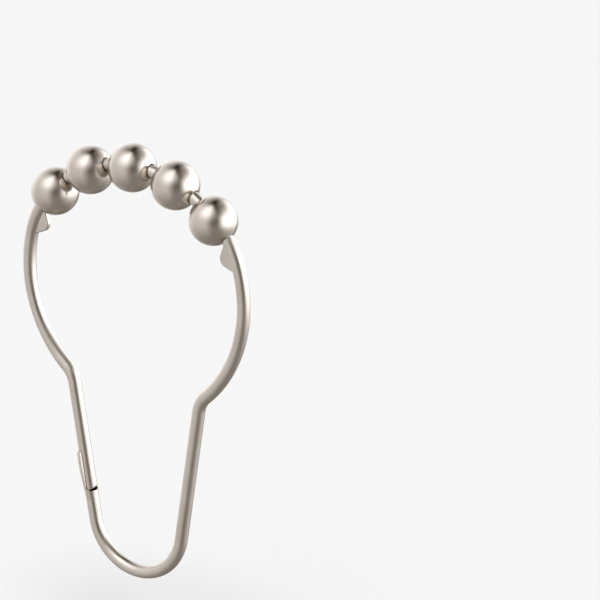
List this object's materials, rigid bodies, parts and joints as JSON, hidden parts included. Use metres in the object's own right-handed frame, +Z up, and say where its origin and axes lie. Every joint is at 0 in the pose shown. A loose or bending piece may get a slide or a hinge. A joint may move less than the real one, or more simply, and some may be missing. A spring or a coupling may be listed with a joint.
{
  "type": "shower curtain hook",
  "caption": "Bent wire curtain hook with a row of roller balls on top, a waisted neck, and a snap latch in one leg above a round lower loop.",
  "frame": {"origin": "point under the middle roller ball that rests on top of the rod", "axes": "+X along the rod, +Z up; the latch is in the leg on the +Y side and the plain leg is on the -Y side"},
  "size_m": [0.008, 0.0458, 0.0746],
  "materials": {
    "wire": "satin nickel plating with a soft even sheen",
    "balls": "satin nickel plating with a soft even sheen"
  },
  "bodies": {
    "ring": {"ring_wire": "wire"},
    "roller_1": {"roller_ball_1": "balls"},
    "roller_2": {"roller_ball_2": "balls"},
    "roller_3": {"roller_ball_3": "balls"},
    "roller_4": {"roller_ball_4": "balls"},
    "roller_5": {"roller_ball_5": "balls"}
  },
  "joints": [
    {"name": "roller_1_spin", "type": "hinge", "parent": "ring", "child": "roller_1", "pos_m": [0, -0.01599, -0.00231], "axis": [0, -0.7307, -0.6827], "continuous": true},
    {"name": "roller_2_spin", "type": "hinge", "parent": "ring", "child": "roller_2", "pos_m": [0, -0.0086, 0.00237], "axis": [0, -0.9302, -0.367], "continuous": true},
    {"name": "roller_3_spin", "type": "hinge", "parent": "ring", "child": "roller_3", "pos_m": [0, 0, 0.004], "axis": [0, -1, 0], "continuous": true},
    {"name": "roller_4_spin", "type": "hinge", "parent": "ring", "child": "roller_4", "pos_m": [0, 0.0086, 0.00237], "axis": [0, -0.9302, 0.367], "continuous": true},
    {"name": "roller_5_spin", "type": "hinge", "parent": "ring", "child": "roller_5", "pos_m": [0, 0.01599, -0.00231], "axis": [0, -0.7307, 0.6827], "continuous": true}
  ]
}
